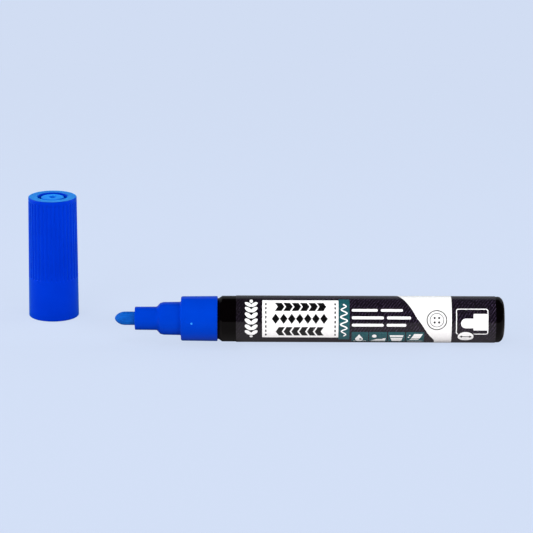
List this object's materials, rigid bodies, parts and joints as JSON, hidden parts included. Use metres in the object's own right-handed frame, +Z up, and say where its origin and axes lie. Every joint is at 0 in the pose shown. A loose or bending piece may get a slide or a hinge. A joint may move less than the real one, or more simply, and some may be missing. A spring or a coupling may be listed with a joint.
{
  "type": "fabric marking pen",
  "caption": "Valve-action fabric paint marker with a bullet nib and stepped nozzle, lying on its side, with its ribbed cap off and standing beside it.",
  "frame": {"origin": "centre of the barrel's flat tail face, on the pen's axis", "axes": "+X along the pen's axis from the nib to the tail, +Z up; the pen lies on the plane z = -7.52 mm and the cap stands on it"},
  "size_m": [0.1555, 0.0444, 0.0406],
  "materials": {
    "barrel_plastic": "glossy black moulded plastic",
    "printed_film": "dark printed film sleeve with white and teal printing",
    "collar_plastic": "glossy bright blue moulded plastic",
    "cap_plastic": "satin bright blue moulded plastic with fine ribs",
    "nib_felt": "porous bonded fibre soaked with blue paint",
    "natural_plastic": "undyed translucent white plastic",
    "seal_rubber": "soft dark seal",
    "spring_steel": "drawn stainless wire",
    "ball_steel": "polished stainless ball"
  },
  "bodies": {
    "pen": {"barrel": "barrel_plastic", "label_sleeve": "printed_film", "front_section": "collar_plastic", "valve_housing": "natural_plastic", "valve_seal": "seal_rubber", "valve_spring": "spring_steel", "spring_retainer": "natural_plastic", "neck_gasket": "seal_rubber"},
    "nib": {"nib": "nib_felt"},
    "valve": {"valve_stem": "natural_plastic"},
    "front_ball": {"mixing_ball_front": "ball_steel"},
    "rear_ball": {"mixing_ball_rear": "ball_steel"},
    "cap": {"cap_shell": "cap_plastic", "cap_inner_seal": "cap_plastic"}
  },
  "joints": [
    {"name": "nib_press", "type": "slide", "parent": "pen", "child": "nib", "axis": [1, 0, 0], "range_m": [0, 0.002]},
    {"name": "valve_lift", "type": "slide", "parent": "pen", "child": "valve", "axis": [1, 0, 0], "range_m": [0, 0.002], "deforming": ["valve_spring"]},
    {"name": "ball_roll", "type": "slide", "parent": "pen", "child": "front_ball", "axis": [1, 0, 0], "range_m": [-0.009, 0.0155]},
    {"name": "cap_travel", "type": "slide", "parent": "pen", "child": "rear_ball", "axis": [1, 0, 0], "range_m": [0, 0.04848]},
    {"name": "cap_swing", "type": "hinge", "parent": "rear_ball", "child": "cap", "pos_m": [-0.14344, 0.01435, -0.00376], "axis": [0.7071, 0, -0.7071], "range_deg": [0, 180]}
  ],
  "couplings": [
    {"joint": "valve_lift", "follows": "nib_press", "ratio": 1}
  ]
}
